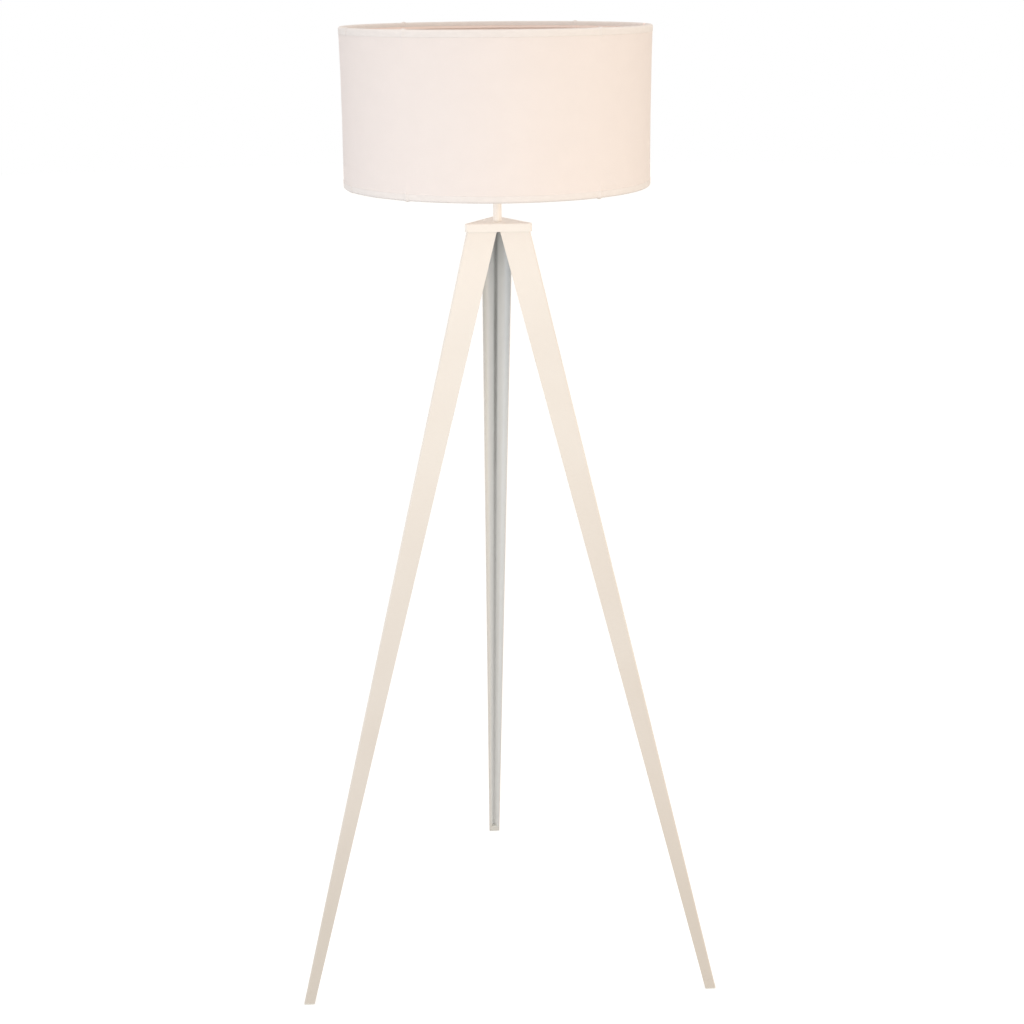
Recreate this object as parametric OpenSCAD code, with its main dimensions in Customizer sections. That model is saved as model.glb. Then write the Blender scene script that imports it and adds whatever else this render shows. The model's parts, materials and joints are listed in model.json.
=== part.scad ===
// Tripod floor lamp: three folded sheet-steel legs under a triangular pressed cap,
// a short pole, a lampholder with its bulb, and a fabric drum shade on a wire frame.
// Millimetres. The origin is on the pole's axis at floor level, +Z is up, the front is -Y.

/* [Legs] */
// Distance from the pole's axis to the outside of a leg's fold at the floor
foot_r = 420; // [390:5:450]
// The same distance just under the cap
top_r = 57.3; // [55:0.1:62]
// Thickness of the folded steel
sheet = 1.5; // [1.2:0.1:1.8]
// Inside radius of the fold that runs down each leg
fold_r = 1.5; // [1:0.25:2]
// Width of each flange at the floor, along the triangle's side
flange_foot = 20.7; // [18:0.1:24]
// Thickness of the sole under each leg
sole = 2; // [1.5:0.5:4]

/* [Cap] */
// Height of the cap's flat top above the floor
cap_z = 1334; // [1280:1:1380]
// Depth of the cap's turned-down lip
cap_lip = 13.7; // [12:0.1:16]
// Outside radius of the bend between the cap's top and its lip
cap_edge_r = 2.5; // [2:0.5:4]
// Outside radius of the cap's three corners
cap_corner_r = 4; // [3:0.5:5]

/* [Pole] */
// Outside diameter of the pole
pole_d = 14; // [13:0.5:16]
// Length of the pole between the cap and the lampholder
pole_len = 84; // [80:1:110]

/* [Shade] */
// Outside diameter of the fabric drum
shade_d = 500; // [460:5:540]
// Height of the shade from rim to rim
shade_h = 252; // [230:1:280]
// Gap between the cap's top and the shade's lower rim
shade_gap = 59; // [50:1:66]
// Width of the hem tapes
hem_h = 11; // [8:0.5:14]
// Angle between the two front spokes, and between the two rear ones
spoke_spread = 75; // [60:1:90]

/* [Hidden] */
$fn = 96;

// Directions of the legs, seen from above
left_a = 210;
right_a = 330;
back_a = 90;

// The legs stand at the corners of a triangular pyramid and their flanges lie in its faces.
// "corner" is the sharp corner where two outer faces would meet without a fold radius.
leg_top = cap_z - sheet;
lean = atan((foot_r - top_r) / (cap_z - 4));
tilt = atan(tan(lean) / 2);
q = cos(30) * sin(lean);
k = sqrt(1 - q * q);
half = acos((0.5 - q * q) / (1 - q * q)) / 2;
fold_out = fold_r + sheet;
nose_gap = fold_out / sin(half) - fold_out;
flange_start = fold_out / tan(half);
bend_drop = fold_out * (1 - sin(tilt));
leg_gap = 0.5;

// Tabs at the top of the legs, and the studs that hold them
tab_depth = 16;
tab_start = 12;
relief = 1.5;
relief_x = foot_r + nose_gap / cos(lean) - leg_top * tan(lean) - (tab_start - 0.5) * cos(30);
stud_along = 37;
stud_depth = 9;
stud_r = 2.5;
stud_len = 11;

// Cap
cap_gap = 0.5;
lip_z = cap_z - cap_lip;

// Threaded tube that runs through the cap and into the pole
thread_r = 5;
wire_way_r = 4;

// Lampholder: heights above the top of the pole
holder_z = cap_z + pole_len;
barrel_r = 19.9;
shoulder_r = 24;
shoulder_z = 29.5;
holder_top = 56;
bulb_z = 25.5;

// Shade
shade_z0 = cap_z + shade_gap;
shade_z1 = shade_z0 + shade_h;
wire_r = 2;
cloth_t = 0.6;
fold_over_r = wire_r + 2 * cloth_t;
ring_r = shade_d / 2 - wire_r - cloth_t;
ring_z0 = shade_z0 + fold_over_r;
ring_z1 = shade_z1 - fold_over_r;
hem_leg = hem_h - fold_over_r;
spoke_r = 1.6;
rod_r = 1.2;
hook_r = fold_over_r + rod_r + 0.05;
hook_tail = 7;
fitter_z = holder_z + shoulder_z + 0.05;
fitter_t = 1.5;
fitter_in = 20.6;
fitter_out = 27;
spokes = [
    90 - spoke_spread / 2, 90 + spoke_spread / 2,
    270 - spoke_spread / 2, 270 + spoke_spread / 2
];

// Colours
cream = [0.95, 0.91, 0.85];
cloth = [0.96, 0.93, 0.88];
tape = [0.93, 0.91, 0.89];
steel = [0.72, 0.72, 0.70];
brass = [0.80, 0.66, 0.36];
plastic = [0.93, 0.92, 0.89];

function corner_r(z) = foot_r + nose_gap / cos(lean) - z * tan(lean);
function half_side(z) = corner_r(z) * cos(30);

// Point of a flange's outer face: w along the triangle's side from the corner, at height z
function face_pt(w, z) = [
    k * w - flange_start,
    (z - nose_gap * sin(lean)) / cos(lean) + q * w
];

function arc(c, r, a0, a1, n) =
    [for (i = [0:n]) c + r * [cos(a0 + (a1 - a0) * i / n), sin(a0 + (a1 - a0) * i / n)]];

function bezier(a, b, c, d, n) =
    [for (i = [0:n]) let (t = i / n, s = 1 - t)
        s * s * s * a + 3 * s * s * t * b + 3 * s * t * t * c + t * t * t * d];

function flip(list) = [for (i = [len(list) - 1:-1:0]) list[i]];

// A straight round bar between two points
module bar(p, e, r) {
    d = e - p;
    flat = sqrt(d[0] * d[0] + d[1] * d[1]);
    translate(p)
        rotate([0, atan2(flat, d[2]), atan2(d[1], d[0])])
            cylinder(r = r, h = norm(d));
}

module tube(r_out, r_in, h) {
    difference() {
        cylinder(r = r_out, h = h);
        translate([0, 0, -1]) cylinder(r = r_in, h = h + 2);
    }
}

// ---------------------------------------------------------------- legs

// Places a leg's section: X points outwards square to the fold, Z runs up the fold
module along_fold() {
    translate([foot_r, 0, 0])
        rotate([0, -lean, 0])
            translate([-fold_out, 0, 0])
                children();
}

// Section of a whole leg, square to the fold, before its flanges are tapered
module fold_section() {
    turn = 90 - half;
    width = k * half_side(leg_top) + 10;
    run = width * [-cos(half), sin(half)];
    outer = arc([0, 0], fold_out, -turn, turn, 8);
    inner = arc([0, 0], fold_r, turn, -turn, 8);
    polygon(concat(
        [outer[0] + [run[0], -run[1]]], outer, [outer[8] + run],
        [inner[0] + run], inner, [inner[8] + [run[0], -run[1]]]
    ));
}

// What the taper and the top edge take off one flange
module flange_waste() {
    z_top = leg_top - bend_drop;
    foot_end = face_pt(flange_foot, 0);
    top_end = face_pt(half_side(z_top) - leg_gap / 2, z_top);
    past = 0.05 * (top_end - foot_end);
    low = foot_end - past;
    high = top_end + past;
    rotate([0, 0, 180 - half])
        translate([0, 2 * sheet - fold_out, 0])
            rotate([90, 0, 0])
                linear_extrude(height = 3 * sheet) {
                    polygon([low, [low[0] + 90, low[1]], [high[0] + 90, high[1]], high]);
                    polygon([
                        face_pt(0, z_top), face_pt(80, z_top),
                        face_pt(80, z_top + 50), face_pt(0, z_top + 50)
                    ]);
                }
}

// X runs along the triangle's side from the corner, Y inwards from the outer face
module along_side() {
    translate([corner_r(leg_top), 0, leg_top]) rotate([0, 0, 150]) children();
}

// The flange's top is bent inwards into a flat tab that bolts up to the cap
module tab() {
    centre = [fold_out * (1 - sin(tilt)) / cos(tilt), -fold_out];
    tab_end = half_side(leg_top) - leg_gap;
    along_side()
        difference() {
            translate([tab_start, 0, 0])
                rotate([90, 0, 90])
                    linear_extrude(height = tab_end - tab_start)
                        polygon(concat(
                            [[tab_depth, 0]],
                            arc(centre, fold_out, 90, 180 - tilt, 6),
                            arc(centre, fold_r, 180 - tilt, 90, 6),
                            [[tab_depth, -sheet]]
                        ));
            translate([0, 0, -2 * sheet])
                linear_extrude(height = 3 * sheet) {
                    polygon([
                        [tab_start - 1, fold_out], [tab_start, fold_out],
                        [30, tab_depth + 1], [tab_start - 1, tab_depth + 1]
                    ]);
                    polygon([
                        [tab_end, fold_out], [tab_end + 1, fold_out],
                        [tab_end + 1, tab_depth + 1], [tab_end - 3, tab_depth + 1]
                    ]);
                    translate([stud_along, stud_depth]) circle(r = stud_r + 0.25);
                }
        }
}

module leg(a) {
    color(cream)
        rotate([0, 0, a]) {
            difference() {
                along_fold()
                    translate([0, 0, -20])
                        linear_extrude(height = cap_z / cos(lean) + 40) fold_section();
                for (side = [0, 1]) mirror([0, side, 0]) along_fold() flange_waste();
                translate([foot_r - 60, -60, -60]) cube([120, 120, 60 + sole]);
                translate([relief_x, -20, leg_top - bend_drop - relief]) cube([40, 40, 40]);
            }
            for (side = [0, 1]) mirror([0, side, 0]) tab();
        }
}

// Plastic foot: a sole under the steel and a plug that fills the fold behind it
module foot_section(outer, flange_w) {
    n = outer * [sin(half), cos(half)];
    tip = n + flange_w * [-cos(half), sin(half)];
    polygon([n, tip, [tip[0], -tip[1]], [n[0], -n[1]]]);
}

module foot(a) {
    flange_w = k * flange_foot - flange_start;
    color(plastic)
        rotate([0, 0, a]) {
            intersection() {
                along_fold()
                    translate([0, 0, -20])
                        linear_extrude(height = 60) {
                            foot_section(fold_out, flange_w);
                            circle(r = fold_out);
                        }
                translate([foot_r - 60, -60, 0]) cube([120, 120, sole]);
            }
            intersection() {
                along_fold()
                    translate([0, 0, -20])
                        linear_extrude(height = 60)
                            foot_section(fold_r, flange_w - 1);
                translate([foot_r - 60, -60, sole]) cube([120, 120, 9]);
            }
        }
}

// ---------------------------------------------------------------- cap and its fasteners

// Rounded triangular block with upright sides, set in from the cap's outside by inset
module cap_form(inset) {
    pin_r = cap_corner_r - inset;
    bend_r = cap_edge_r - inset;
    top = cap_z - inset;
    hull()
        for (a = [left_a, right_a, back_a])
            rotate([0, 0, a])
                translate([corner_r(lip_z) + 2 * (cap_gap + sheet - cap_corner_r), 0, 0])
                    rotate_extrude($fn = 48)
                        polygon(concat(
                            [[0, lip_z - 5], [pin_r, lip_z - 5]],
                            arc([pin_r - bend_r, top - bend_r], bend_r, 0, 90, 6),
                            [[0, top]]
                        ));
}

// Children are placed at each of the six studs, with the underside of the cap at z = 0
module at_studs() {
    for (a = [left_a, right_a, back_a], side = [0, 1])
        rotate([0, 0, a])
            mirror([0, side, 0])
                along_side()
                    translate([stud_along, stud_depth, 0])
                        children();
}

module cap() {
    color(cream) {
        difference() {
            cap_form(0);
            cap_form(sheet);
            translate([-100, -100, lip_z - 50]) cube([200, 200, 50]);
            translate([0, 0, cap_z - 10]) cylinder(r = thread_r + 0.1, h = 20);
        }
        at_studs()
            translate([0, 0, -stud_len])
                cylinder(r = stud_r, h = stud_len + sheet / 2, $fn = 32);
    }
}

module leg_washers() {
    color(steel)
        at_studs() translate([0, 0, -sheet - 1]) tube(5, stud_r + 0.2, 1);
}

module leg_nuts() {
    color(steel)
        at_studs()
            translate([0, 0, -sheet - 5])
                difference() {
                    cylinder(r = 4.62, h = 4, $fn = 6);
                    translate([0, 0, -1]) cylinder(r = stud_r + 0.05, h = 6);
                }
}

module lower_nipple() {
    color(steel)
        translate([0, 0, cap_z - 14]) tube(thread_r, wire_way_r, 28);
}

module cap_washer() {
    color(steel)
        translate([0, 0, leg_top - 1.2]) tube(11, thread_r + 0.1, 1.2);
}

module cap_nut() {
    color(steel)
        translate([0, 0, leg_top - 7.2])
            difference() {
                cylinder(r = 9.8, h = 6, $fn = 6);
                translate([0, 0, -1]) cylinder(r = thread_r + 0.05, h = 8);
            }
}

// Insulating bush that the cord leaves through
module cord_bush() {
    color([0.16, 0.16, 0.16])
        translate([0, 0, cap_z - 14])
            rotate_extrude()
                polygon(concat(
                    [[3.1, 7], [3.1, -1.5]],
                    arc([4.1, -1.5], 1, 180, 270, 4),
                    arc([5.6, -1.5], 1, 270, 360, 4),
                    [[6.6, 0], [wire_way_r, 0], [wire_way_r, 7]]
                ));
}

// ---------------------------------------------------------------- pole

module pole() {
    color(cream)
        translate([0, 0, cap_z]) tube(pole_d / 2, thread_r + 0.05, pole_len);
}

module upper_nipple() {
    color(steel)
        translate([0, 0, holder_z - 12]) tube(thread_r, wire_way_r, 21);
}

// ---------------------------------------------------------------- lampholder

module holder_dome() {
    color(plastic)
        translate([0, 0, holder_z])
            rotate_extrude()
                polygon(concat(
                    [[thread_r + 0.05, 0], [8, 0], [8, 3]],
                    bezier([8, 3], [8, 7], [19.5, 5], [19.5, 14], 10),
                    [[19.5, 26], [17.6, 26], [17.6, 15]],
                    bezier([17.6, 15], [17.6, 11], [14, 9.5], [11, 9.5], 6),
                    [[thread_r + 0.05, 9.5]]
                ));
}

module holder_skirt() {
    color(plastic)
        translate([0, 0, holder_z])
            rotate_extrude()
                polygon(concat(
                    [[15.8, 16], [17.5, 16], [17.5, 26], [shoulder_r - 1, 26]],
                    arc([shoulder_r - 1, 27], 1, 270, 360, 4),
                    [[shoulder_r, shoulder_z], [barrel_r, shoulder_z], [barrel_r, holder_top - 1]],
                    arc([barrel_r - 1, holder_top - 1], 1, 0, 90, 4),
                    [[17.4, holder_top], [17.4, 31], [15.8, 29]]
                ));
}

module holder_core() {
    color([0.90, 0.88, 0.82])
        translate([0, 0, holder_z])
            rotate_extrude()
                polygon([
                    [2.5, 15], [15.6, 15], [15.6, 46.5], [14, 46.5], [14, 23.5], [2.5, 23.5]
                ]);
}

module holder_shell() {
    color(brass)
        translate([0, 0, holder_z])
            rotate_extrude()
                polygon([
                    [10.5, 23.5], [13.95, 23.5], [13.95, 45.5],
                    [13.5, 45.5], [13.5, 24], [10.5, 24]
                ]);
}

// Sprung centre contact, riveted through the core
module holder_contact() {
    color(brass)
        translate([0, 0, holder_z]) {
            translate([0, 0, 14]) cylinder(r = 2.4, h = 10);
            translate([0, 0, 13]) cylinder(r = 3.6, h = 2);
            translate([0, 0, 23.5]) cylinder(r = 4.2, h = bulb_z - 23.5);
        }
}

module holder_terminals() {
    color(steel)
        for (x = [-9, 9])
            translate([x, 0, holder_z]) {
                difference() {
                    translate([0, 0, 12.6]) cylinder(r = 2.6, h = 2.4, $fn = 48);
                    translate([-3, -0.4, 12.5]) cube([6, 0.8, 0.9]);
                }
            }
}

// Ring nut that clamps the shade down on the holder's shoulder
module shade_ring_nut() {
    color(plastic)
        translate([0, 0, fitter_z + fitter_t + 0.05])
            difference() {
                union() {
                    cylinder(r = 24.3, h = 2);
                    cylinder(r = 22.6, h = 9);
                    for (i = [0:23])
                        rotate([0, 0, i * 15])
                            translate([22.6, 0, 0])
                                cylinder(r = 0.9, h = 8.2, $fn = 24);
                }
                translate([0, 0, -1]) cylinder(r = barrel_r + 0.08, h = 11);
            }
}

// ---------------------------------------------------------------- shade

// Half ring over the wire's centre, with a leg hanging on the inner side
module over_wire(r_in) {
    difference() {
        circle(r = r_in + cloth_t, $fn = 48);
        circle(r = r_in, $fn = 48);
        translate([-10, -20]) square([20, 20]);
    }
    translate([-r_in - cloth_t, -hem_leg]) square([cloth_t, hem_leg]);
}

// Notches in the hem where the spokes pass to the lower ring
module spoke_notches() {
    for (a = spokes)
        rotate([0, 0, a])
            translate([ring_r - 8, -3, ring_z0 - wire_r])
                cube([6.6, 6, 12]);
}

module shade_fabric() {
    color(cloth)
        difference() {
            rotate_extrude($fn = 180) {
                translate([ring_r + wire_r, ring_z0]) square([cloth_t, ring_z1 - ring_z0]);
                translate([ring_r, ring_z1]) over_wire(wire_r);
                translate([ring_r, ring_z0]) mirror([0, 1]) over_wire(wire_r);
            }
            spoke_notches();
        }
}

module hem_section() {
    over_wire(wire_r + cloth_t);
    translate([wire_r + cloth_t, -hem_leg]) square([cloth_t, hem_leg]);
}

module shade_top_hem() {
    color(tape)
        rotate_extrude($fn = 180) translate([ring_r, ring_z1]) hem_section();
}

module shade_bottom_hem() {
    color(tape)
        difference() {
            rotate_extrude($fn = 180) translate([ring_r, ring_z0]) mirror([0, 1]) hem_section();
            spoke_notches();
        }
}

module wire_ring(z) {
    rotate_extrude($fn = 180) translate([ring_r, z]) circle(r = wire_r, $fn = 32);
}

module shade_top_ring() {
    color(steel) wire_ring(ring_z1);
}

module shade_bottom_ring() {
    color(steel) wire_ring(ring_z0);
}

// Flat ring that sits on the lampholder's shoulder
module fitter_ring() {
    translate([0, 0, fitter_z]) tube(fitter_out, fitter_in, fitter_t);
}

module shade_fitter() {
    color(steel) fitter_ring();
}

// Spokes, welded to the lower ring and to the fitter ring
module shade_spokes() {
    color(steel)
        difference() {
            for (a = spokes)
                bar(
                    [(fitter_out - 0.8) * cos(a), (fitter_out - 0.8) * sin(a), fitter_z + fitter_t / 2],
                    [ring_r * cos(a), ring_r * sin(a), ring_z0],
                    spoke_r
                );
            fitter_ring();
            wire_ring(ring_z0);
        }
}

// Hook over a rim, from the rod on the inside to a short tail on the outside
module hook() {
    rotate([90, 0, 0])
        rotate_extrude(angle = 180) translate([hook_r, 0]) circle(r = rod_r, $fn = 24);
    translate([hook_r, 0, -hook_tail]) cylinder(r = rod_r, h = hook_tail, $fn = 24);
    translate([hook_r, 0, -hook_tail]) sphere(r = rod_r, $fn = 24);
}

// Coated rods that stretch the fabric between the rings, one beside each spoke
module shade_rods() {
    beside = 5 / ring_r * 180 / PI;
    color(cream)
        for (side = [0, 1], a = [spokes[0], spokes[2]])
            mirror([side, 0, 0])
                rotate([0, 0, a + beside])
                    translate([ring_r, 0, 0]) {
                        translate([-hook_r, 0, ring_z0])
                            cylinder(r = rod_r, h = ring_z1 - ring_z0, $fn = 24);
                        translate([0, 0, ring_z1]) hook();
                        translate([0, 0, ring_z0]) mirror([0, 0, 1]) hook();
                    }
}

// ---------------------------------------------------------------- bulb, up from its tip

bulb_len = 108;
bulb_r = 30;

// Outline of the glass, set in from the outside by d
function glass_outline(d) =
    let (c = [0, bulb_len - bulb_r],
         join = -35,
         p = c + (bulb_r - d) * [cos(join), sin(join)],
         pull = 14 * [-sin(-join), -cos(join)])
    concat(
        [[11.6 - d, 21], [11.6 - d, 26], [13.3 - d, 27.6]],
        bezier([14 - d, 29], [14.6 - d, 42], p + pull, p, 14),
        arc(c, bulb_r - d, join, 90, 26)
    );

module at_bulb() {
    translate([0, 0, holder_z + bulb_z]) children();
}

module bulb_glass() {
    color([0.97, 0.97, 0.96])
        at_bulb() rotate_extrude() polygon(concat(glass_outline(0), flip(glass_outline(0.9))));
}

// Screw cap with rolled thread ridges
module bulb_cap() {
    ridges = 5;
    pitch = 3.6;
    steps = 8;
    color([0.80, 0.80, 0.78])
        at_bulb()
            rotate_extrude()
                polygon(concat(
                    [[11.9, 26], [11.9, 6]],
                    [for (i = [0:ridges * steps])
                        [12.75 - 0.45 * cos(360 * i / steps), 6 + i * pitch / steps]],
                    [[13.3, 24.6], [13.3, 26]]
                ));
}

module bulb_insulator() {
    color([0.10, 0.10, 0.12])
        at_bulb() rotate_extrude() polygon([[0, 1.6], [5, 1.6], [11.6, 5.4], [11.85, 9], [0, 9]]);
}

module bulb_tip() {
    color(steel)
        at_bulb() rotate_extrude() polygon(concat([[0, 1.6], [0, 0]], [[2.6, 0], [4.2, 0.6], [4.6, 1.6]]));
}

module bulb_stem() {
    color([0.90, 0.94, 0.95])
        at_bulb()
            rotate_extrude()
                polygon([
                    [0, 22], [10.6, 22], [10.6, 23], [4, 29],
                    [3.2, 36], [3.2, 60], [2.4, 63], [0, 63]
                ]);
}

// Filament held up on two supply wires
module bulb_filament() {
    color(brass)
        at_bulb()
            for (side = [-1, 1]) {
                bar([side * 2, 0, 62], [side * 15, 0, 82], 0.5);
                bar([side * 15, 0, 82], [0, 0, 88], 0.8);
                translate([side * 15, 0, 82]) sphere(r = 0.8, $fn = 24);
            }
}

leg(left_a);  // leg_left
leg(right_a);  // leg_right
leg(back_a);  // leg_back
foot(left_a);  // foot_left
foot(right_a);  // foot_right
foot(back_a);  // foot_back
cap();
leg_washers();
leg_nuts();
lower_nipple();
cap_washer();
cap_nut();
cord_bush();
pole();
upper_nipple();
holder_dome();
holder_skirt();
holder_core();
holder_shell();
holder_contact();
holder_terminals();
shade_ring_nut();
shade_fabric();
shade_top_hem();
shade_bottom_hem();
shade_top_ring();
shade_bottom_ring();
shade_spokes();
shade_fitter();
shade_rods();
bulb_glass();
bulb_cap();
bulb_insulator();
bulb_tip();
bulb_stem();
bulb_filament();
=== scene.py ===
"""Looks of the tripod floor lamp: camera, studio, finishes and the finely shaped pieces.

The cloth of the shade, its hem tapes and the threads are modelled here, because the CAD keeps
them plain. Lengths are in metres.
"""
import json
import math

import bpy
from mathutils import Matrix, Vector, noise


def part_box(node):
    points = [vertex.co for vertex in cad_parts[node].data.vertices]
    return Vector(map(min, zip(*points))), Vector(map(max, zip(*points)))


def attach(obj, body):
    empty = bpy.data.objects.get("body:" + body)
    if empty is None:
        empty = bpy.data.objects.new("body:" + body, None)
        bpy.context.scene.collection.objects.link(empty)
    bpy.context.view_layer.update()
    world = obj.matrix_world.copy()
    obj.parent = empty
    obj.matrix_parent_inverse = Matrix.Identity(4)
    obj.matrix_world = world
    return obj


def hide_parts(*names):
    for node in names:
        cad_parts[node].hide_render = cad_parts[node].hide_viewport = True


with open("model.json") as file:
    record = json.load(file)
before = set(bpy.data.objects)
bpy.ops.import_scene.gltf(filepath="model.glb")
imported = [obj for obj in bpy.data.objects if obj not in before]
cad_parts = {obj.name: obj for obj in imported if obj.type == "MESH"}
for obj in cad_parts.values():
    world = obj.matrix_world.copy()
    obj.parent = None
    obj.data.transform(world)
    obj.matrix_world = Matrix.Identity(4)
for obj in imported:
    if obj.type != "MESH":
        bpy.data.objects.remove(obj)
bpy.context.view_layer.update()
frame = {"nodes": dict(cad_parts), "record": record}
MM = 0.001
TURN = 2 * math.pi


# ---------------------------------------------------------------- camera

# The camera's turn to the right, its dip and its roll are in radians
CAMERA_AT = Vector((-0.1378, -2.8323, 1.7171))
CAMERA_TURN = 0.0557
CAMERA_DIP = 0.3031
CAMERA_ROLL = 0.0082
LENS_IN_MM = 60.1
FILM_IN_MM = 36
FARTHEST_SEEN = 60


def place_camera():
    """A standing viewer's camera, a little higher than the shade and tipped down."""
    data = bpy.data.cameras.new("camera")
    data.lens = LENS_IN_MM
    data.sensor_width = FILM_IN_MM
    data.clip_end = FARTHEST_SEEN
    camera = bpy.data.objects.new("camera", data)
    bpy.context.scene.collection.objects.link(camera)
    sin_turn, cos_turn = math.sin(CAMERA_TURN), math.cos(CAMERA_TURN)
    sin_dip, cos_dip = math.sin(CAMERA_DIP), math.cos(CAMERA_DIP)
    sin_roll, cos_roll = math.sin(CAMERA_ROLL), math.cos(CAMERA_ROLL)
    forward = Vector((sin_turn * cos_dip, cos_turn * cos_dip, -sin_dip))
    level_right = Vector((cos_turn, -sin_turn, 0))
    level_up = level_right.cross(forward)
    right = cos_roll * level_right - sin_roll * level_up
    up = sin_roll * level_right + cos_roll * level_up
    turn = Matrix((right, up, -forward)).transposed()
    camera.matrix_world = Matrix.Translation(CAMERA_AT) @ turn.to_4x4()
    bpy.context.scene.camera = camera


place_camera()
bpy.context.scene.view_settings.view_transform = "Standard"


# ---------------------------------------------------------------- shader maths


def srgb(red, green, blue):
    """A colour given as 0 to 255, as a linear colour for a shader socket."""

    def linear(level):
        share = level / 255
        return share / 12.92 if share <= 0.04045 else ((share + 0.055) / 1.055) ** 2.4

    return (linear(red), linear(green), linear(blue), 1)


class Wire:
    """An output socket that Python sums can use: each operation adds a Math node."""

    def __init__(self, nodes, socket):
        self.nodes = nodes
        self.socket = socket

    def maths(self, operation, *values):
        sockets = dict(enumerate(values))
        return self.nodes.node("ShaderNodeMath", {"operation": operation}, sockets)

    def __add__(self, other):
        return self.maths("ADD", self, other)

    def __radd__(self, other):
        return self.maths("ADD", other, self)

    def __sub__(self, other):
        return self.maths("SUBTRACT", self, other)

    def __rsub__(self, other):
        return self.maths("SUBTRACT", other, self)

    def __mul__(self, other):
        return self.maths("MULTIPLY", self, other)

    def __rmul__(self, other):
        return self.maths("MULTIPLY", other, self)

    def __truediv__(self, other):
        return self.maths("DIVIDE", self, other)

    def unsigned(self):
        return self.maths("ABSOLUTE", self)

    def bearing(self, along_x):
        """The angle of a point round the Z axis, from its Y, which this is, and its X."""
        return self.maths("ARCTAN2", self, along_x)

    def sine(self):
        return self.maths("SINE", self)

    def above(self, low, high):
        """0 below low and 1 above high, with a smooth step between."""
        settings = {"interpolation_type": "SMOOTHSTEP"}
        sockets = {"Value": self, "From Min": low, "From Max": high}
        return self.nodes.node("ShaderNodeMapRange", settings, sockets)

    def between(self, low, high):
        """A value from 0 to 1 spread from low to high."""
        return self * (high - low) + low


class Nodes:
    """The nodes of a material or of the world, and the ways to add more."""

    def __init__(self, tree):
        self.tree = tree

    def node(self, kind, settings=None, sockets=None, output=0):
        """Adds a node: its settings first, then the values or links of its sockets."""
        made = self.tree.nodes.new(kind)
        for name, value in (settings or {}).items():
            setattr(made, name, value)
        for name, value in (sockets or {}).items():
            if isinstance(value, Wire):
                self.tree.links.new(value.socket, made.inputs[name])
            else:
                made.inputs[name].default_value = value
        return Wire(self, made.outputs[output])

    def first(self, name):
        """What comes out of a node that was there from the start."""
        return Wire(self, self.tree.nodes[name].outputs[0])

    def show(self, shader, output="Material Output"):
        self.tree.links.new(shader.socket, self.tree.nodes[output].inputs["Surface"])


class Finish(Nodes):
    """A material, made of a shader's constants and of the nodes that are added to it."""

    def __init__(self, name, **constants):
        self.material = bpy.data.materials.new(name)
        self.material.use_nodes = True
        super().__init__(self.material.node_tree)
        self.shader = self.tree.nodes["Principled BSDF"]
        for socket, value in constants.items():
            self.shader.inputs[socket.replace("_", " ")].default_value = value

    def feed(self, socket, wire):
        self.tree.links.new(wire.socket, self.shader.inputs[socket])

    def place(self, kind="Object", scale=(1, 1, 1)):
        """Where a point is on the piece, in metres times scale."""
        point = self.node("ShaderNodeTexCoord", output=kind)
        sockets = {"Vector": point, "Scale": scale}
        return self.node("ShaderNodeMapping", sockets=sockets)

    def coordinate(self, place, axis):
        return self.node("ShaderNodeSeparateXYZ", sockets={"Vector": place}, output=axis)

    def noise(self, place, scale, detail=2.0, roughness=0.5):
        sockets = {"Vector": place, "Scale": scale, "Detail": detail, "Roughness": roughness}
        return self.node("ShaderNodeTexNoise", sockets=sockets)

    def mix(self, share, first, second):
        """A colour between two others, which go into the node's sockets 6 and 7."""
        sockets = {"Factor": share, 6: first, 7: second}
        return self.node("ShaderNodeMix", {"data_type": "RGBA"}, sockets, output=2)

    def bump(self, height, depth, strength=1.0):
        """Relief of that depth in metres, on top of any given before."""
        sockets = {"Height": height, "Distance": depth, "Strength": strength}
        before = self.shader.inputs["Normal"].links
        if before:
            sockets["Normal"] = Wire(self, before[0].from_socket)
        self.feed("Normal", self.node("ShaderNodeBump", sockets=sockets))

    def attribute(self, name):
        """A value that the piece's mesh carries for each of its faces."""
        return self.node("ShaderNodeAttribute", {"attribute_name": name}, output="Fac")

    def let_light_through(self, share, tone):
        """Thin cloth: that share of the light goes on through it and comes out scattered."""
        through = self.node("ShaderNodeBsdfTranslucent", sockets={"Color": tone})
        sockets = {0: share, 1: self.first("Principled BSDF"), 2: through}
        self.show(self.node("ShaderNodeMixShader", sockets=sockets))


# ---------------------------------------------------------------- studio


def shows_plain(nodes):
    """1 where the camera, a reflection or a glass piece looks, 0 for the light itself."""
    looks = [nodes.node("ShaderNodeLightPath", output=name) for name in
             ("Is Camera Ray", "Is Glossy Ray", "Is Transmission Ray")]
    total = looks[0] + looks[1] + looks[2]
    total.socket.node.use_clamp = True
    return total


def make_world(strength, colour):
    """Even soft light, in front of a plain white background."""
    world = bpy.data.worlds.new("studio")
    world.use_nodes = True
    bpy.context.scene.world = world
    room = Nodes(world.node_tree)
    light = room.tree.nodes["Background"]
    light.inputs["Color"].default_value = colour
    light.inputs["Strength"].default_value = strength
    white = room.node("ShaderNodeBackground", sockets={"Color": (1, 1, 1, 1)})
    sockets = {0: shows_plain(room), 1: room.first("Background"), 2: white}
    room.show(room.node("ShaderNodeMixShader", sockets=sockets), "World Output")


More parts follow.
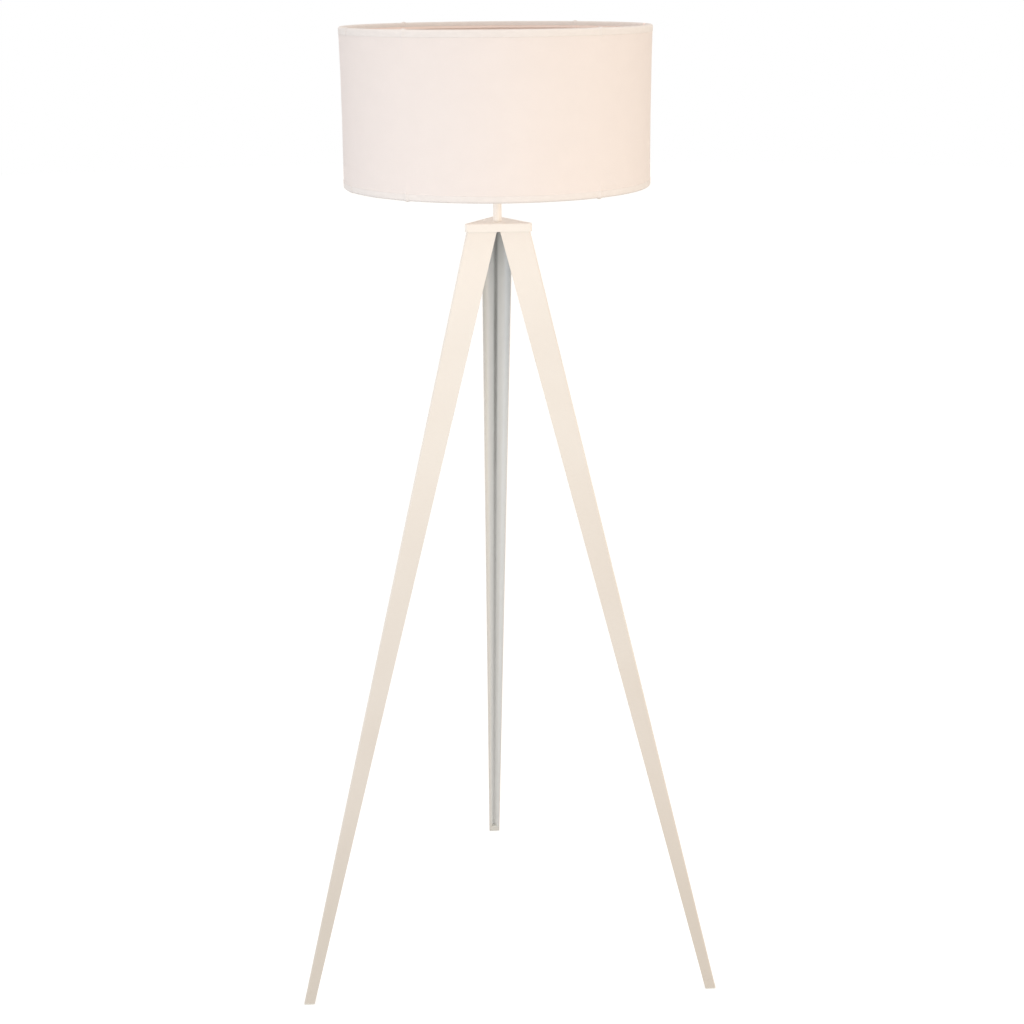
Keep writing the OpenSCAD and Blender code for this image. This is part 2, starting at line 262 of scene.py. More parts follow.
def make_floor(lift):
    """A plain white floor that keeps the lamp's shadow. lift is the white added to what is seen."""
    bpy.ops.mesh.primitive_circle_add(vertices=96, radius=14, fill_type="NGON")
    floor = bpy.context.object
    floor.name = "floor"
    paper = Finish(
        "floor_paper", Base_Color=srgb(180, 180, 179), Roughness=1.0, Specular_IOR_Level=0.0)
    glow = paper.node("ShaderNodeEmission", sockets={"Strength": shows_plain(paper) * lift})
    sockets = {0: paper.first("Principled BSDF"), 1: glow}
    paper.show(paper.node("ShaderNodeAddShader", sockets=sockets))
    floor.data.materials.append(paper.material)


def soft_box(name, at, aim, size, power, colour):
    """A rectangular lamp in watts, turned to face the point that it aims at."""
    data = bpy.data.lights.new(name, "AREA")
    data.shape = "RECTANGLE"
    data.size, data.size_y = size
    data.energy = power
    data.color = colour
    light = bpy.data.objects.new(name, data)
    bpy.context.scene.collection.objects.link(light)
    light.location = at
    light.rotation_mode = "QUATERNION"
    light.rotation_quaternion = (Vector(aim) - Vector(at)).to_track_quat("-Z", "Y")


make_world(0.965, (1.0, 0.93, 0.87, 1))
make_floor(0.64)
soft_box("near_front", (-0.1, -1.5, 1.35), (0, 0, 1.3), (0.9, 0.6), 5.4, (1.0, 0.98, 0.95))
for name, side, power, colour in (
    ("warm_side", 1, 15.2, (1.0, 0.815, 0.585)),
    ("cool_side", -1, 13.7, (0.67, 0.82, 1.0)),
):
    soft_box(name, (side * 2.4, -0.9, 1.2), (0, 0.1, 1.1), (0.8, 1.5), power, colour)


# ---------------------------------------------------------------- finishes

# The sharp line where a leg's outer faces would meet: how far out it is at the floor, and how
# far it comes in for each metre up. Both faces stand at the same angle to the way the leg points.
LEG_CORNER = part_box("leg_back")[1].y + 3.5 * MM
LEG_LEAN = 0.2727
FLANGE_TURN = math.radians(30)
LEG_TURNS = {"leg_left": 210, "leg_right": 330, "leg_back": 90}
ZINC = ((0.70, 0.71, 0.70, 1), (0.60, 0.60, 0.56, 1))


def painted_steel(dark, light, leg_turn=None):
    """Cream powder coat: a satin skin with fine orange peel, and light scuffs by the feet.

    leg_turn is the way that a leg points, in degrees from +X; a leg's coat then also carries
    painted light and shade.
    """
    paint = Finish("painted_steel_coat", Roughness=0.4)
    place = paint.place()
    broad = paint.noise(place, 5.0, 3)
    speck = paint.noise(place, 1400.0, 2)
    peel = paint.noise(place, 420.0, 3, 0.55)
    height = paint.coordinate(place, "Z")
    low = 1 - height.above(0.004, 0.05)
    scuff = low * paint.noise(place, 130.0, 4, 0.7).above(0.52, 0.68)
    tone = paint.mix(broad.above(0.35, 0.65), dark, light)
    if leg_turn is not None:
        tone = leg_coat_with_painted_light(paint, place, height, math.radians(leg_turn), tone)
    tone = paint.mix(speck.above(0.62, 0.74) * 0.22, tone, srgb(212, 203, 193))
    tone = paint.mix(scuff * 0.5, tone, srgb(190, 178, 164))
    paint.feed("Base Color", tone)
    paint.feed("Roughness", peel.between(0.30, 0.44) + scuff * 0.2)
    paint.bump(peel, 0.05 * MM, 0.35)
    return paint.material


def leg_coat_with_painted_light(paint, place, height, turn, coat):
    """The coat of a leg, with painted shade by the foot and painted light by the cap.

    The inner side is painted grey as shade, greyest by the edges, and painted shade darkens the
    fold.
    """
    inner, fold, rim = leg_inside(paint, place, height, turn)
    # Painted shade darkens the coat low on the leg, and painted light pales it up by the cap.
    painted_shade_by_foot, painted_light_by_cap = srgb(218, 212, 203), srgb(240, 236, 229)
    painted_light_near_cap = height.above(0.6, 0.95) * 0.22 + height.above(1.12, 1.32) * 0.78
    tone = paint.mix(height.above(0.12, 0.42), painted_shade_by_foot, coat)
    tone = paint.mix(painted_light_near_cap, tone, painted_light_by_cap)
    # Painted shade on the inner faces: grey by the flanges' edges, greyer up under the cap, pale by
    # the fold.
    painted_inner_shade = paint.mix(height.above(0.85, 1.2), srgb(227, 227, 224), srgb(205, 207, 207))
    tone = paint.mix(inner, tone, paint.mix(rim, srgb(243, 245, 245), painted_inner_shade))
    # Painted shade in the fold: darker higher up the leg, a little lighter right under the cap,
    # broken up by noise.
    depth = height * 0.32 + height.above(0.75, 1.0) * 0.1 + 0.20
    depth = depth * (1 - height.above(1.10, 1.30) * 0.3)
    painted_fold_shade = fold * inner * depth * paint.noise(place, 22.0, 4).between(0.8, 1.2)
    return paint.mix(painted_fold_shade, tone, srgb(92, 92, 90))


def leg_inside(paint, place, height, turn):
    """1 on the inner faces of a leg, 1 along its fold, and 1 by the edges of its flanges."""
    x, y = paint.coordinate(place, "X"), paint.coordinate(place, "Y")
    outwards = x * math.cos(turn) + y * math.sin(turn)
    aside = (y * math.cos(turn) - x * math.sin(turn)).unsigned()
    depth = LEG_CORNER - height * LEG_LEAN - outwards
    into_sheet = depth * math.sin(FLANGE_TURN) - aside * math.cos(FLANGE_TURN)
    inner = into_sheet.above(0.5 * MM, 1.0 * MM) * depth.above(3.5 * MM, 3.9 * MM)
    fold = 1 - (aside / (height * 0.0021 + 2.6 * MM)).above(0.0, 1.0)
    rim = (aside / (height * 0.0116 + 10.3 * MM)).above(0.5, 0.93)
    return inner, fold, rim


def moulded_plastic(name, colour, shade, rough=0.38, grain=900.0):
    """Injection-moulded plastic: spark-eroded grain and a slow change of tone."""
    plastic = Finish(name)
    place = plastic.place()
    cloud = plastic.noise(place, 40.0, 3)
    fine = plastic.noise(place, grain, 2)
    plastic.feed("Base Color", plastic.mix(cloud, colour, shade))
    plastic.feed("Roughness", fine.between(rough - 0.06, rough + 0.1))
    plastic.bump(fine, 0.03 * MM, 0.5)
    return plastic.material


def plated_metal(name, colour, dull, rough=0.28, thread=None):
    """Plated or drawn metal: thin cloudy film, fine streaks round the part.

    thread is the pitch of a thread round the pole's axis.
    """
    metal = Finish(name, Metallic=1.0)
    place = metal.place()
    film = metal.noise(place, 160.0, 4, 0.6)
    streak = metal.noise(metal.place(scale=(60, 60, 2600)), 1.0, 2)
    metal.feed("Base Color", metal.mix(film.above(0.3, 0.75), colour, dull))
    metal.feed("Roughness", film.between(rough - 0.05, rough + 0.12) + streak * 0.06)
    metal.bump(streak, 0.01 * MM, 0.4)
    if thread:
        x, y, z = (metal.coordinate(place, axis) for axis in "XYZ")
        metal.bump((z * (TURN / thread) - y.bearing(x)).sine(), 0.3 * thread)
    return metal.material


def shade_cloth():
    """Plain-woven cotton outside, with slubs, on a smooth lining that is warmer in tone."""
    cloth = Finish("shade_cloth_weave", Roughness=0.92, Specular_IOR_Level=0.2,
                   Sheen_Weight=0.1, Sheen_Roughness=0.6)
    weft_pitch, warp_pitch = 0.62 * MM, 0.70 * MM
    at = cloth.place("UV")
    drift = cloth.noise(at, 60.0, 2) * 0.9
    across = cloth.coordinate(at, "X") * (TURN / weft_pitch) + drift
    along = cloth.coordinate(at, "Y") * (TURN / warp_pitch) + drift
    weave = (across.sine() * along.sine() + 1) * 0.5
    weft_slub = cloth.noise(cloth.place("UV", (28, 1100, 1)), 1.0, 2).above(0.60, 0.78)
    warp_slub = cloth.noise(cloth.place("UV", (1250, 34, 1)), 1.0, 2).above(0.63, 0.80)
    patch = cloth.noise(at, 26.0, 4, 0.6)
    tone = cloth.mix(patch.above(0.2, 0.8), srgb(247, 240, 237), srgb(249, 242, 239))
    tone = cloth.mix(weave * 0.16, tone, srgb(226, 214, 204))
    tone = cloth.mix((weft_slub + warp_slub) * 0.20, tone, srgb(255, 250, 244))
    lining = cloth.attribute("lining")
    tone = cloth.mix(lining, tone, srgb(255, 240, 233))
    cloth.feed("Base Color", tone)
    cloth.feed("Roughness", weave.between(0.86, 0.96) - lining * 0.4)
    relief = weave + weft_slub * 0.8 + warp_slub * 0.6
    cloth.bump(relief * (1 - lining * 0.8), 0.10 * MM, 0.8)
    cloth.let_light_through(0.1 - lining * 0.07, tone)
    return cloth.material


def hem_tape():
    """Ribbed cotton tape of the cloth's own colour, with its ribs across it."""
    tape = Finish("hem_tape_rib", Roughness=0.85, Sheen_Weight=0.1)
    rib_pitch, thread_pitch = 0.85 * MM, 0.45 * MM
    at = tape.place("UV")
    rib = (tape.coordinate(at, "X") * (TURN / rib_pitch)).sine() * 0.5 + 0.5
    thread = (tape.coordinate(at, "Y") * (TURN / thread_pitch)).sine() * 0.5 + 0.5
    glue = tape.noise(tape.place("UV", (70, 190, 1)), 1.0, 3)
    tone = tape.mix(glue.above(0.35, 0.7), srgb(233, 228, 225), srgb(237, 232, 229))
    tone = tape.mix(rib * 0.12, tone, srgb(216, 208, 200))
    tape.feed("Base Color", tone)
    tape.feed("Roughness", rib.between(0.78, 0.9))
    tape.bump(rib + thread * 0.4, 0.08 * MM, 0.6)
    return tape.material


def coated_wire():
    """Steel wire dipped in cream enamel: glossy, with slow waves where the coat ran."""
    coat = Finish("wire_enamel", Roughness=0.3)
    place = coat.place()
    run = coat.noise(place, 45.0, 2)
    speck = coat.noise(place, 900.0, 2).above(0.68, 0.78)
    tone = coat.mix(run.above(0.3, 0.7), srgb(238, 230, 219), srgb(244, 238, 229))
    coat.feed("Base Color", coat.mix(speck * 0.3, tone, srgb(206, 194, 180)))
    coat.feed("Roughness", run.between(0.22, 0.36))
    coat.bump(run, 0.3 * MM, 0.4)
    return coat.material


def frosted_glass():
    """Acid-etched bulb glass: milky, with a fine grain."""
    glass = Finish("bulb_frosting", Roughness=0.45, IOR=1.5, Transmission_Weight=0.15)
    place = glass.place()
    etch = glass.noise(place, 2200.0, 2)
    cloud = glass.noise(place, 60.0, 3)
    glass.feed("Base Color", glass.mix(cloud, srgb(246, 246, 243), srgb(252, 252, 250)))
    glass.feed("Roughness", etch.between(0.38, 0.56))
    glass.bump(etch, 0.01 * MM, 0.4)
    return glass.material


def clear_glass():
    """The bulb's stem: drawn glass with a faint change of tone."""
    glass = Finish("stem_glass", IOR=1.5, Transmission_Weight=1.0)
    seed = glass.noise(glass.place(), 300.0, 2)
    glass.feed("Base Color", glass.mix(seed, srgb(246, 251, 252), srgb(252, 254, 254)))
    glass.feed("Roughness", seed.between(0.01, 0.06))
    return glass.material


def fired_core():
    """Steatite: chalky, off-white, with specks from the kiln."""
    core = Finish("fired_core", Roughness=0.55)
    place = core.place()
    speck = core.noise(place, 900.0, 3).above(0.66, 0.74)
    cloud = core.noise(place, 90.0, 3)
    tone = core.mix(cloud, srgb(232, 226, 212), srgb(240, 235, 223))
    core.feed("Base Color", core.mix(speck * 0.6, tone, srgb(176, 162, 140)))
    core.feed("Roughness", cloud.between(0.48, 0.62))
    core.bump(core.noise(place, 700.0, 3), 0.04 * MM, 0.6)
    return core.material


# Each leg's coat carries painted shade by the foot, on its inner faces and in its fold, and painted
# light by the cap.
LEG_PAINTS = {
    node: painted_steel(srgb(223, 217, 209), srgb(226, 221, 214), turn)
    for node, turn in LEG_TURNS.items()
}
FINISHES = {
    # The cap and the pole are painted paler than the legs: painted light for the light that the
    # shade keeps off them.
    "painted_steel": painted_steel(srgb(247, 244, 238), srgb(250, 247, 241)),
    "foot_plastic": moulded_plastic("foot_plastic_grain", srgb(226, 226, 220), srgb(233, 233, 228)),
    "zinc": plated_metal("zinc_plate", *ZINC),
    "bush_plastic": moulded_plastic("bush_plastic_grain", srgb(38, 38, 40), srgb(48, 48, 50), 0.5),
    "holder_plastic": moulded_plastic(
        "holder_plastic_grain", srgb(238, 236, 230), srgb(243, 241, 236), 0.3, 1500.0),
    "core_ceramic": fired_core(),
    "contact_brass": plated_metal("rolled_brass", (0.78, 0.58, 0.26, 1), (0.66, 0.47, 0.21, 1)),
    "shade_cloth": shade_cloth(),
    "hem_tape": hem_tape(),
    "frame_wire": coated_wire(),
    "bulb_frosted": frosted_glass(),
    "bulb_aluminium": plated_metal("cap_aluminium", (0.82, 0.82, 0.81, 1), (0.73, 0.73, 0.72, 1)),
    "black_glass": moulded_plastic("cap_glass", srgb(22, 16, 30), srgb(30, 24, 38), 0.15, 400.0),
    "solder": plated_metal("solder_tin", (0.62, 0.62, 0.60, 1), (0.50, 0.50, 0.49, 1), 0.4),
    "clear_glass": clear_glass(),
    "tungsten": plated_metal("filament_wire", (0.36, 0.35, 0.34, 1), (0.28, 0.27, 0.27, 1), 0.4),
}


# ---------------------------------------------------------------- modelling

BODY_OF_NODE = {
    node: body for body, nodes in frame["record"]["behaviour"]["bodies"].items() for node in nodes
}
SLOT_OF_NODE = {
    subpart["node"]: subpart["material_slot"] for subpart in frame["record"]["subparts"]
}
HAS_PIECE = set()


def clamp(share):
    return min(1.0, max(0.0, share))


def ease(share):
    """A smooth step that goes from 0 to 1 as the share does."""
    share = clamp(share)
    return share * share * (3 - 2 * share)


def spread(start, end, count):
    """Values from start to end, count even steps apart."""
    return [start + (end - start) * i / count for i in range(count + 1)]


def arc(centre, radius, start, end, count):
    """Points on an arc, angles in degrees."""
    angles = [math.radians(angle) for angle in spread(start, end, count)]
    return [(centre[0] + radius * math.cos(a), centre[1] + radius * math.sin(a)) for a in angles]


def upright(radius, start, end, count):
    """Points straight above each other, at one radius."""
    return [(radius, height) for height in spread(start, end, count)]


def lengths_along(points):
    """How far each point is from the first, along the line through them."""
    total, found = 0.0, [0.0]
    for a, b in zip(points, points[1:]):
        total += math.dist(a, b)
        found.append(total)
    return found


def select_only(piece):
    bpy.ops.object.select_all(action="DESELECT")
    bpy.context.view_layer.objects.active = piece
    piece.select_set(True)


def apply_modifiers(piece):
    select_only(piece)
    for modifier in list(piece.modifiers):
        bpy.ops.object.modifier_apply(modifier=modifier.name)


def smooth(piece, degrees):
    select_only(piece)
    bpy.ops.object.shade_smooth_by_angle(angle=math.radians(degrees))


def join_skin(piece):
    """Merges points that lie on each other, and turns every face outwards."""
    select_only(piece)
    bpy.ops.object.mode_set(mode="EDIT")
    bpy.ops.mesh.select_all(action="SELECT")
    bpy.ops.mesh.remove_doubles(threshold=0.001 * MM)
    bpy.ops.mesh.normals_make_consistent(inside=False)
    bpy.ops.object.mode_set(mode="OBJECT")


def thicken(piece, thickness):
    """Gives a sheet its thickness, half to each side."""
    solid = piece.modifiers.new("thickness", "SOLIDIFY")
    solid.thickness = thickness
    solid.offset = 0
    apply_modifiers(piece)


def finish_piece(piece, node, finish=None):
    """Gives a piece the body, the slot and the finish of the CAD node that it stands for."""
    HAS_PIECE.add(node)
    slot = SLOT_OF_NODE[node]
    piece.data.materials.clear()
    piece.data.materials.append(finish or FINISHES[slot])
    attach(piece, BODY_OF_NODE[node])
    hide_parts(node)
    return piece


def cut_strip(name, columns, rows):
    """A flat strip of cloth or sheet, two units square until it is rolled."""
    bpy.ops.object.select_all(action="DESELECT")
    bpy.ops.mesh.primitive_grid_add(x_subdivisions=columns, y_subdivisions=rows, size=2)
    strip = bpy.context.object
    strip.name = strip.data.name = name
    return strip


def turned(name, outline, columns, radius_at):
    """A closed outline of radii and heights spun round the pole's axis.

    radius_at gives the radius of a point from its outline radius, its height and its angle.
    """
    rows = len(outline)
    piece = cut_strip(name, columns, rows)
    for vertex in piece.data.vertices:
        angle = (vertex.co.x + 1) / 2 * TURN
        radius, height = outline[round((vertex.co.y + 1) / 2 * rows) % rows]
        radius = radius_at(radius, height, angle)
        vertex.co = (radius * math.cos(angle), radius * math.sin(angle), height)
    join_skin(piece)
    smooth(piece, 35)
    return piece


# ---------------------------------------------------------------- shade

wire_low, wire_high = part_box("shade_top_ring")
WIRE_R = (wire_high.z - wire_low.z) / 2
RING_R = wire_high.x - WIRE_R
TOP_RING_Z = (wire_low.z + wire_high.z) / 2
LOW_RING_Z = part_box("shade_bottom_ring")[0].z + WIRE_R

# The cloth and the tapes: how far they come down from a ring, and where their ends lap
CLOTH_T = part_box("shade_fabric")[1].x - RING_R - WIRE_R
CLOTH_R = WIRE_R + CLOTH_T / 2
TAPE_T = CLOTH_T * 0.8
TAPE_R = WIRE_R + CLOTH_T * 1.5
HEM_LEG = TOP_RING_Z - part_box("shade_top_hem")[0].z
HEM_LEG_INSIDE = HEM_LEG - 4 * MM
CLOTH_LEG = HEM_LEG - 0.2 * MM
CLOTH_LAP = 12 * MM
TAPE_LAP = 14 * MM
CLOTH_SEAM_AT = math.radians(6)
TAPE_SEAM_AT = math.radians(197)
COLUMNS = 720
RIM_ROWS = 10
WALL_ROWS = 26
CLOTH_LEG_ROWS = 3
TAPE_LEG_ROWS = 8
TAPE_INSIDE_ROWS = 4

# The spokes, and beside each of them a rod that is hooked over both rims.
# ROD_NEAR is from the middle of a ring's wire to the near side of a hook.
SPOKES = [math.radians(side + turn) for side in (90, 270) for turn in (-37.5, 37.5)]
HOOKS = [angle + 5 * MM / RING_R * side for angle, side in zip(SPOKES, (1, -1, 1, -1))]
ROD_R = 1.2 * MM
ROD_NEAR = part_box("shade_top_hem")[1].x - RING_R + 0.05 * MM
HOOK_TAIL = 5 * MM
HOOK_BULGE = 1.5 * MM


def nearer_ring(z):
    """The height of the ring nearer to z, and how far z is from it towards the other ring."""
    if z > (TOP_RING_Z + LOW_RING_Z) / 2:
        return TOP_RING_Z, TOP_RING_Z - z
    return LOW_RING_Z, z - LOW_RING_Z


def over_ring(z, side, radius):
    """Half turn over a ring's wire, from the outside to the inside. side is 1 at the top."""
    half_turn = arc((RING_R, z), radius, 0, 180, RIM_ROWS)
    return [(r, z + side * (height - z)) for r, height in half_turn]


def near(angle, other, width):
    """1 at the other angle, falling to 0 over a width in metres round the ring."""
    gap = math.remainder(angle - other, TURN) * RING_R / width
    return math.exp(-gap * gap)


def lap_lift(along, length, lap):
    """1 where a strip's far end lies over its near end, which it reaches in a smooth step."""
    return ease((along - (length - lap) + lap / 2) / (lap / 2))


def stations(length, lap, seam_at):
    """Where the columns of a strip stand along it: closer together by the hooks."""
    steps, extra, reach = 4 * COLUMNS, 3, 9 * MM
    crowd = []
    for step in range(steps):
        angle = seam_at + TURN * length * (step + 0.5) / steps / (length - lap)
        crowd.append(1 + extra * sum(near(angle, hook, reach) for hook in HOOKS))
    share = sum(crowd) / COLUMNS
    found, passed = [0.0], 0.0
    for step, weight in enumerate(crowd):
        while passed + weight > share * len(found) and len(found) < COLUMNS:
            inside = (share * len(found) - passed) / weight
            found.append(length * (step + inside) / steps)
        passed += weight
    return found + [length]


def roll(strip, points, length, lap, seam_at, move):
    """Rolls a flat strip round the rings: its width follows the points, its length goes round.

    move gives a point's radius and height from its angle, its place along the strip and both.
    """
    last = len(points) - 1
    columns = stations(length, lap, seam_at)
    rows = lengths_along(points)
    for corner in strip.data.uv_layers.active.data:
        column, row = round(corner.uv.x * COLUMNS), round(corner.uv.y * last)
        corner.uv = (columns[column], rows[row])
    for vertex in strip.data.vertices:
        along = columns[round((vertex.co.x + 1) / 2 * COLUMNS)]
        angle = seam_at + TURN * along / (length - lap)
        point = points[round((vertex.co.y + 1) / 2 * last)]
        radius, height = move(angle, along, *point)
        vertex.co = (radius * math.cos(angle), radius * math.sin(angle), height)


def cut_notches(strip):
    """Opens the inner side of the lower hem where the spokes pass through to the ring."""
    inner_side, half_width = RING_R - 1.4 * MM, 3 * MM
    bottom, top = LOW_RING_Z - 2 * MM, LOW_RING_Z + 12 * MM
    bpy.ops.object.mode_set(mode="EDIT")
    bpy.ops.mesh.select_mode(type="FACE")
    bpy.ops.mesh.select_all(action="DESELECT")
    bpy.ops.object.mode_set(mode="OBJECT")
    for face in strip.data.polygons:
        x, y, z = face.center
        gaps = [abs(math.remainder(math.atan2(y, x) - spoke, TURN)) * RING_R for spoke in SPOKES]
        inside = math.hypot(x, y) < inner_side and bottom < z < top
        face.select = inside and min(gaps) < half_width
    bpy.ops.object.mode_set(mode="EDIT")
    bpy.ops.mesh.delete(type="FACE")
    bpy.ops.object.mode_set(mode="OBJECT")


def mark_lining(cloth):
    """Marks the faces of the cloth that look inwards, where the lining shows."""
    marks = cloth.data.attributes.new("lining", "FLOAT", "FACE")
    for face in cloth.data.polygons:
        inwards = face.normal.x * face.center.x + face.normal.y * face.center.y < 0
        marks.data[face.index].value = 1.0 if inwards else 0.0


def over_hooks(angle, down, outside):
    """How far a hem stands off where it covers a hook. down is the distance from the ring."""
    fade, half_width = 7 * MM, 3.6 * MM
    past = max(0.0, (down - HOOK_TAIL) / fade) if outside else 0.0
    beside = sum(near(angle, hook, half_width) for hook in HOOKS)
    return HOOK_BULGE * math.exp(-past * past) * beside


def stand_off(r, z, ring_z, down, lift):
    """Moves a point of a hem away from its ring: outwards round the wire, sideways on its legs."""
    if down < 0:
        far = math.hypot(r - RING_R, down)
        return r + (r - RING_R) * lift / far, z + (z - ring_z) * lift / far
    return r + math.copysign(lift, r - RING_R), z


def make_cloth():
    """The drum: one cut of cloth, sewn into a tube and turned in over both rings."""
    wave_depth, waist_depth = 0.35 * MM, 0.9 * MM
    inside, outside = RING_R - CLOTH_R, RING_R + CLOTH_R
    points = (
        upright(inside, LOW_RING_Z + CLOTH_LEG, LOW_RING_Z, CLOTH_LEG_ROWS)[:-1]
        + over_ring(LOW_RING_Z, -1, CLOTH_R)[::-1]
        + upright(outside, LOW_RING_Z, TOP_RING_Z, WALL_ROWS)[1:-1]
        + over_ring(TOP_RING_Z, 1, CLOTH_R)
        + upright(inside, TOP_RING_Z, TOP_RING_Z - CLOTH_LEG, CLOTH_LEG_ROWS)[1:]
    )
    length = TURN * outside + CLOTH_LAP
    width = lengths_along(points)[-1]
    cloth = cut_strip("shade_cloth", COLUMNS, len(points) - 1)

    def slack(angle, along, r, z):
        ring_z, down = nearer_ring(z)
        outer = r > RING_R
        if outer:
            share = (z - LOW_RING_Z) / (TOP_RING_Z - LOW_RING_Z)
            free = max(0.0, 1 - (2 * share - 1) ** 4)
            where = Vector((math.cos(angle), math.sin(angle), z * 2.2)) * 3.1
            wave = noise.noise(where) + 0.5 * noise.noise(where * 2.7)
            r += free * (wave_depth * wave - waist_depth * math.sin(math.pi * share))
        lift = CLOTH_T * lap_lift(along, length, CLOTH_LAP) + over_hooks(angle, down, outer)
        return stand_off(r, z, ring_z, down, lift)

    roll(cloth, points, length, CLOTH_LAP, CLOTH_SEAM_AT, slack)
    cut_notches(cloth)
    thicken(cloth, CLOTH_T)
    mark_lining(cloth)
    smooth(cloth, 60)
    return finish_piece(cloth, "shade_fabric"), (width, length)


def make_hem(name, ring_z, side, node):
    """Tape folded over a rim, with a lap where its ends meet and small puckers round the wire."""
    pucker_depth, edge_depth = 0.11 * MM, 0.30 * MM
    outer_end, inner_end = ring_z - side * HEM_LEG, ring_z - side * HEM_LEG_INSIDE
    points = (
        upright(RING_R + TAPE_R, outer_end, ring_z, TAPE_LEG_ROWS)[:-1]
        + over_ring(ring_z, side, TAPE_R)
        + upright(RING_R - TAPE_R, ring_z, inner_end, TAPE_INSIDE_ROWS)[1:]
    )
    length = TURN * (RING_R + TAPE_R) + TAPE_LAP
    tape = cut_strip(name, COLUMNS, len(points) - 1)

    def pucker(angle, along, r, z):
        down = side * (ring_z - z)
        edge = max(0.0, down / HEM_LEG)
        where = Vector((math.cos(angle), math.sin(angle), side * 0.3))
        ripple = noise.noise(where * 42) + 0.6 * noise.noise(where * 95)
        z -= side * edge_depth * noise.noise(where * 17) * edge ** 3
        lift = CLOTH_T * lap_lift(along, length, TAPE_LAP)
        lift += pucker_depth * ripple * (1 - 0.6 * edge) + over_hooks(angle, down, r > RING_R)
        return stand_off(r, z, ring_z, down, lift)

    roll(tape, points, length, TAPE_LAP, TAPE_SEAM_AT, pucker)
    if side < 0:
        cut_notches(tape)
    thicken(tape, TAPE_T)
    smooth(tape, 60)
    return finish_piece(tape, node)


cloth, cut_size = make_cloth()
upper_tape = make_hem("upper_hem_tape", TOP_RING_Z, 1, "shade_top_hem")
lower_tape = make_hem("lower_hem_tape", LOW_RING_Z, -1, "shade_bottom_hem")


# ---------------------------------------------------------------- threaded pieces

HOLDER_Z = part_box("holder_dome")[0].z
BULB_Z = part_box("bulb_tip")[0].z


def raised(outline, base):
    """An outline given in millimetres above base, in metres."""
    return [(radius * MM, base + height * MM) for radius, height in outline]


def thread_fade(height, low, high, pitch):
    """1 along a thread, falling to 0 over its first turn and over its last."""
    return clamp((height - low) / pitch) * clamp((high - height) / pitch)


def make_holder_skirt():
    """The lampholder's skirt: a shoulder for the shade, and above it a thread for the ring nut."""
    bore, inner, barrel, shoulder, ledge, top = 15.8, 17.5, 19.9, 24, 29.5, 56
    pitch, groove = 2.5 * MM, 0.75 * MM
    low, high = HOLDER_Z + (ledge + 1) * MM, HOLDER_Z + (top - 1.4) * MM
    outline = raised(
        [(bore, 16), (inner, 16), (inner, 26), (shoulder - 1, 26)]
        + arc((shoulder - 1, 27), 1, 270, 360, 4)
        + [(shoulder, ledge - 0.2), (shoulder - 0.2, ledge)]
        + upright(barrel, ledge, top - 1, 102)
        + arc((barrel - 1, top - 1), 1, 0, 90, 4)
        + [(inner - 0.1, top), (inner - 0.1, 31), (bore, 29)],
        HOLDER_Z,
    )

    def radius_at(radius, height, angle):
        if radius < (barrel - 0.01) * MM:
            return radius
        wave = 0.5 + 0.5 * math.cos(TURN * height / pitch - angle)
        return radius - groove * thread_fade(height, low, high, pitch) * wave ** 1.5

    return turned("holder_threaded_skirt", outline, 128, radius_at)


def make_bulb_cap():
    """The bulb's screw cap, with its thread rolled into thin aluminium."""
    inner, root = 11.9, 12.3
    pitch, ridge = 3.6 * MM, 0.9 * MM
    low, high = BULB_Z + 5 * MM, BULB_Z + 24.6 * MM
    outline = raised(
        [(inner, 26), (inner, 6)]
        + upright(root, 6, 24, 60)
        + [(13.1, 24.5), (13.3, 24.8), (13.3, 25.8), (13.1, 26)],
        BULB_Z,
    )

    def radius_at(radius, height, angle):
        if abs(radius - root * MM) > 0.01 * MM:
            return radius
        wave = 0.5 - 0.5 * math.cos(TURN * (height - low) / pitch - angle)
        return radius + ridge * thread_fade(height, low, high, pitch) * wave

    return turned("bulb_rolled_cap", outline, 96, radius_at)


finish_piece(make_holder_skirt(), "holder_skirt")
finish_piece(make_bulb_cap(), "bulb_cap")


# ---------------------------------------------------------------- pieces shaped by the CAD

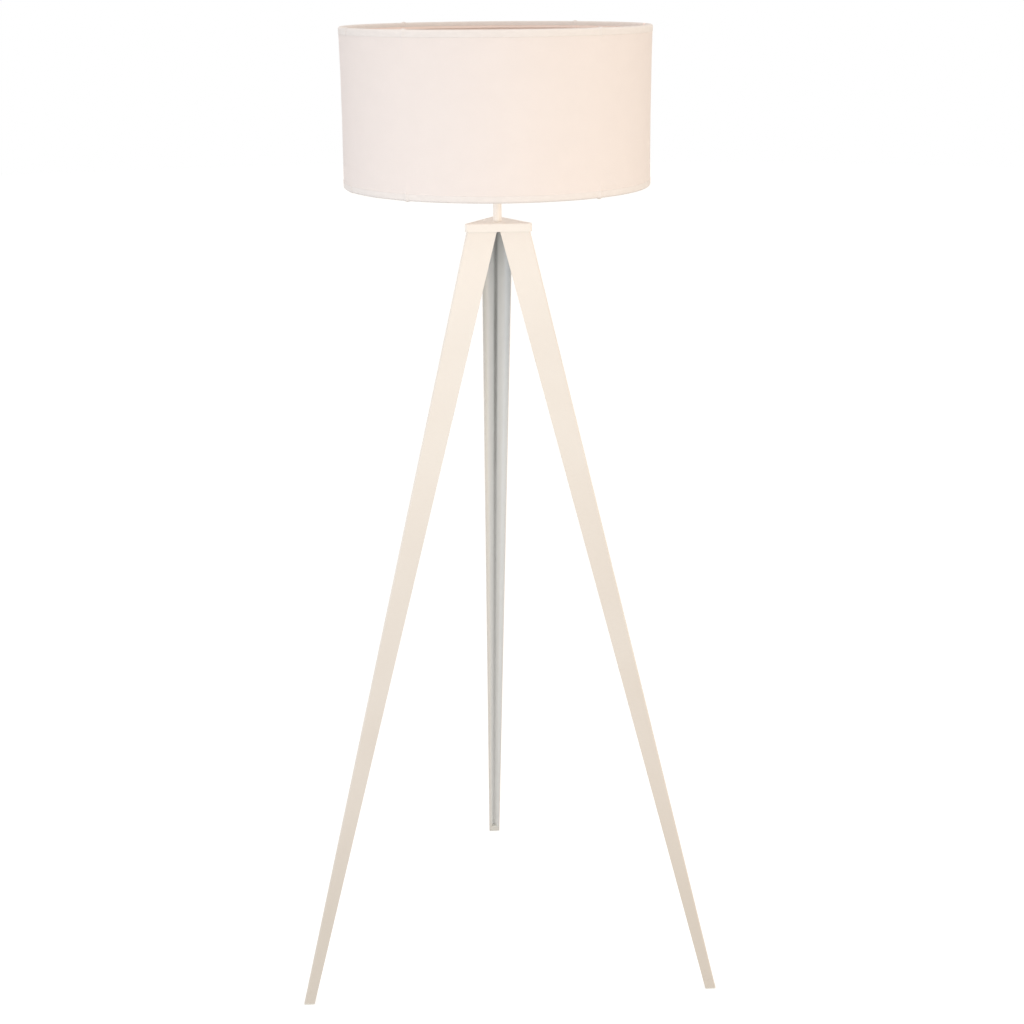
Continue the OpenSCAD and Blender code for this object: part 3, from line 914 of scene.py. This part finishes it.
# How wide the edges are eased, in millimetres
EASED_EDGES = {
    "cap": 0.25, "pole": 0.4, "leg_left": 0.2, "leg_right": 0.2, "leg_back": 0.2,
    "foot_left": 0.3, "foot_right": 0.3, "foot_back": 0.3,
    "leg_washers": 0.15, "leg_nuts": 0.3, "cap_washer": 0.2, "cap_nut": 0.5,
    "shade_fitter": 0.3, "shade_ring_nut": 0.3, "holder_dome": 0.3,
}
THREADED = {
    node: plated_metal("zinc_thread", *ZINC, thread=1 * MM)
    for node in ("lower_nipple", "upper_nipple")
}


def smooth_copy(node):
    """A copy of a CAD node as one skin, smooth over its curves, with its sharp edges eased."""
    piece = bpy.data.objects.new(node + "_smooth", frame["nodes"][node].data.copy())
    bpy.context.scene.collection.objects.link(piece)
    select_only(piece)
    bpy.ops.mesh.customdata_custom_splitnormals_clear()
    join_skin(piece)
    if node in EASED_EDGES:
        bevel = piece.modifiers.new("eased_edges", "BEVEL")
        bevel.width = EASED_EDGES[node] * MM
        bevel.segments = 2
        bevel.angle_limit = math.radians(50)
        bevel.use_clamp_overlap = False
        apply_modifiers(piece)
    smooth(piece, 35)
    piece.modifiers.new("flat_faces", "WEIGHTED_NORMAL").keep_sharp = True
    apply_modifiers(piece)
    return piece


def flatten_hooks(rods):
    """Presses the rods' hooks flat against the rings, under the cloth, and shortens their tails."""
    start, thickness = WIRE_R + 0.05 * MM, 1.4 * MM
    tail_cut, held_down = 0.45, 10 * MM
    for vertex in rods.data.vertices:
        x, y, z = vertex.co
        radius = math.hypot(x, y)
        ring_z, down = nearer_ring(z)
        aside = radius - RING_R
        far = math.hypot(aside, min(0.0, down))
        pressed = start + (far - ROD_NEAR) * thickness / (2 * ROD_R)
        if aside < 0 < down:
            pressed += (far - pressed) * ease(down / held_down - 1)
        if aside > 0 and down > 0:
            z += (ring_z - z) * tail_cut
        if down < 0:
            z = ring_z + (z - ring_z) * pressed / far
        scale = (RING_R + aside * pressed / far) / radius
        vertex.co = (x * scale, y * scale, z)


for node in frame["nodes"]:
    if node in HAS_PIECE:
        continue
    piece = smooth_copy(node)
    if node == "shade_rods":
        flatten_hooks(piece)
    finish_piece(piece, node, LEG_PAINTS.get(node) or THREADED.get(node))
